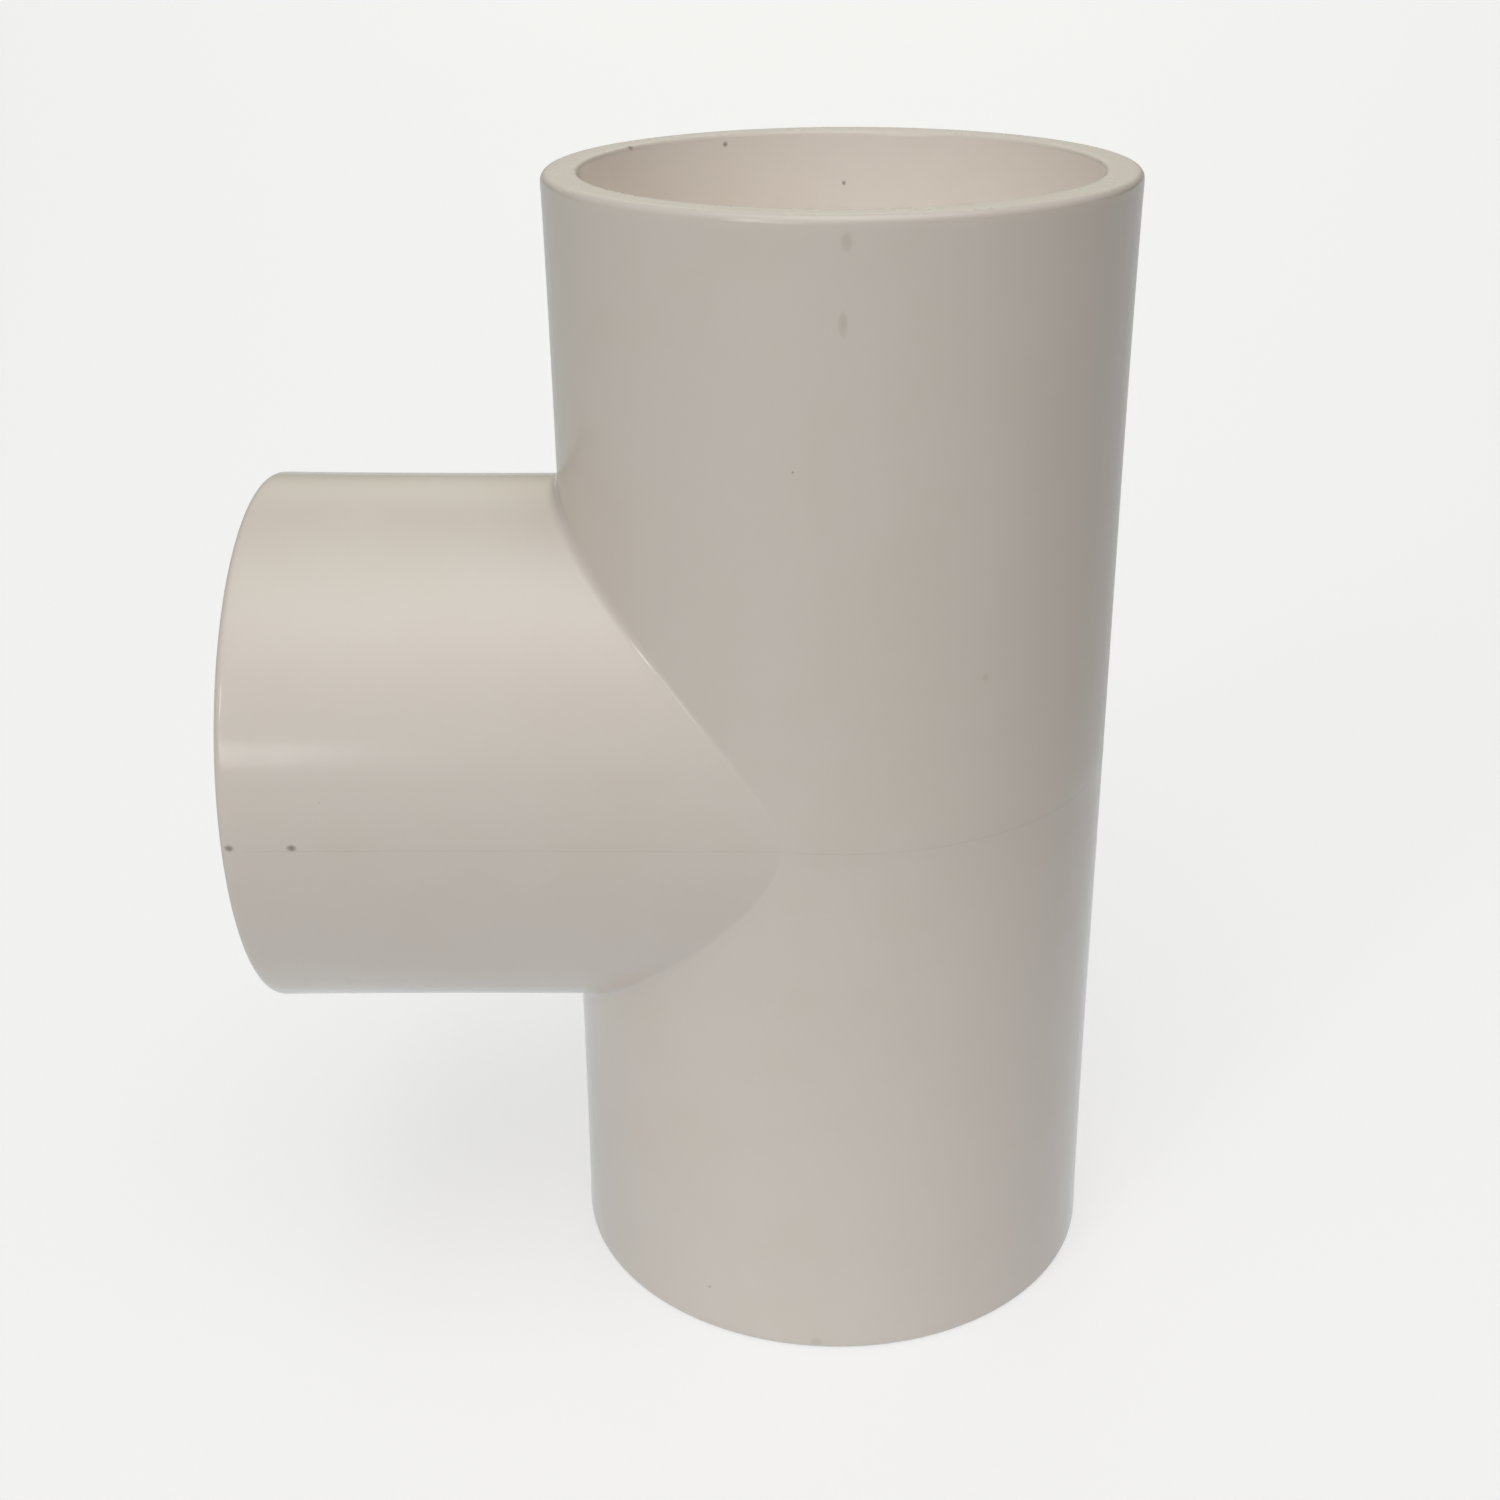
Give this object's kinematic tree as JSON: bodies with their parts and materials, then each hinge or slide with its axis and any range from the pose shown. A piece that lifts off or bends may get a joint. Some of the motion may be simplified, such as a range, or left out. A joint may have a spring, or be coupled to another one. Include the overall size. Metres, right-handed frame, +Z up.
{
  "type": "pipe tee fitting",
  "caption": "Equal tee in ivory PVC pressure pipe fitting: a straight run with a square branch and a plain solvent-cement socket at each end.",
  "frame": {"origin": "middle of the bounding box, on the plane of the lower mouth; the run's axis stands at x = 15.4 mm", "axes": "+Z up the run, -X out of the branch, +Y to the back"},
  "size_m": [0.0882, 0.0574, 0.119],
  "materials": {
    "ivory_pvc": "satin-gloss moulded PVC-U, ivory"
  },
  "bodies": {
    "root": {"tee_moulding": "ivory_pvc"}
  },
  "joints": []
}
